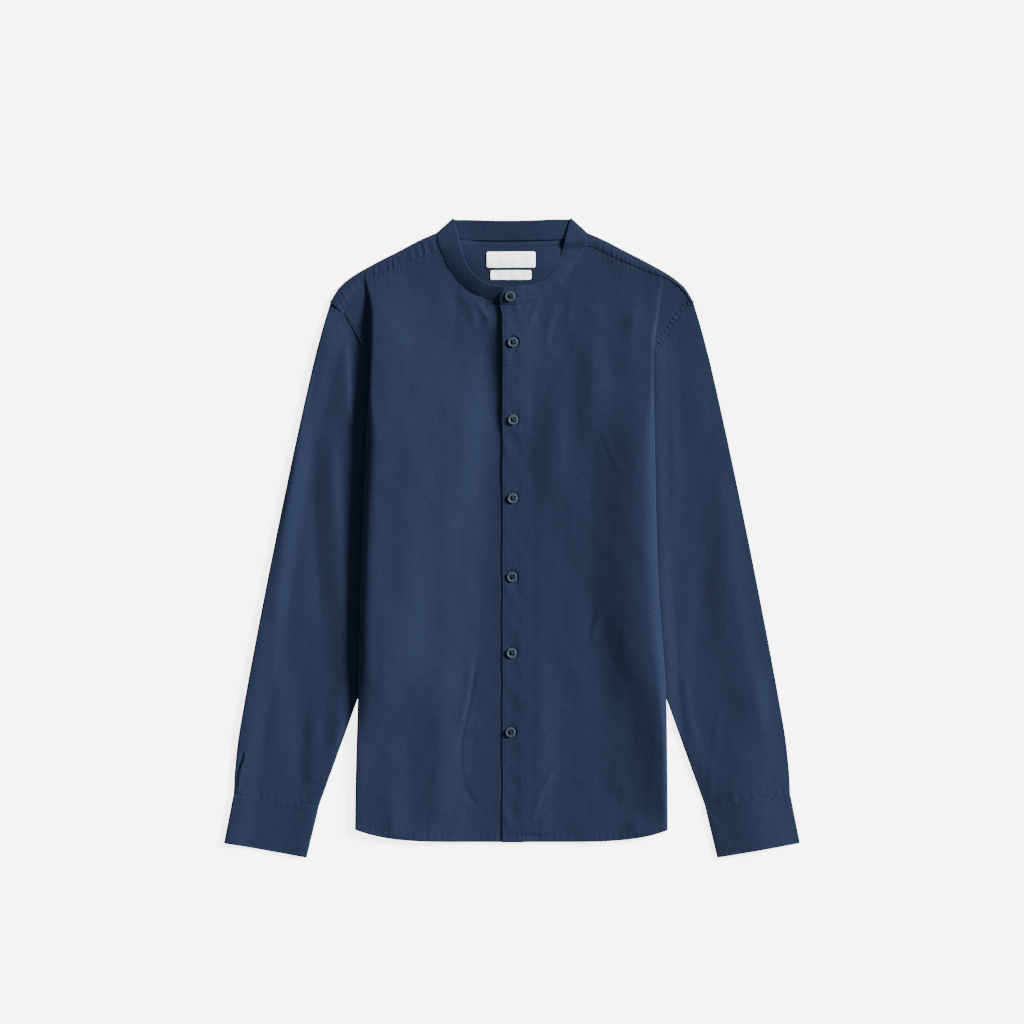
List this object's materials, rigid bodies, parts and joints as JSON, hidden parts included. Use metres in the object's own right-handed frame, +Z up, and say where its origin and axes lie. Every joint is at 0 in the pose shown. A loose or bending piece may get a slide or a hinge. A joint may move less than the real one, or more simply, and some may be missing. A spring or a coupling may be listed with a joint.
{
  "type": "mandarin collar shirt",
  "caption": "Long-sleeved woven shirt with a stand band collar and buttoned front placket, laid flat on its back with the sleeves at its sides.",
  "frame": {"origin": "middle of the outline, on the surface the shirt lies on", "axes": "+X towards the wearer's left sleeve, +Y from the hem to the collar, +Z up out of the front"},
  "size_m": [0.7026, 0.7796, 0.014],
  "materials": {
    "shirting": "matte navy plain-weave cotton",
    "button": "satin grey-blue",
    "label": "white satin tape"
  },
  "bodies": {
    "root": {"back": "shirting", "yoke": "shirting", "front_right": "shirting", "front_left": "shirting", "placket": "shirting", "collar_band": "shirting", "sleeve_right": "shirting", "sleeve_left": "shirting", "cuff_right": "shirting", "cuff_left": "shirting", "button_1": "button", "button_2": "button", "button_3": "button", "button_4": "button", "button_5": "button", "button_6": "button", "button_collar": "button", "label_main": "label", "label_small": "label"}
  },
  "joints": []
}
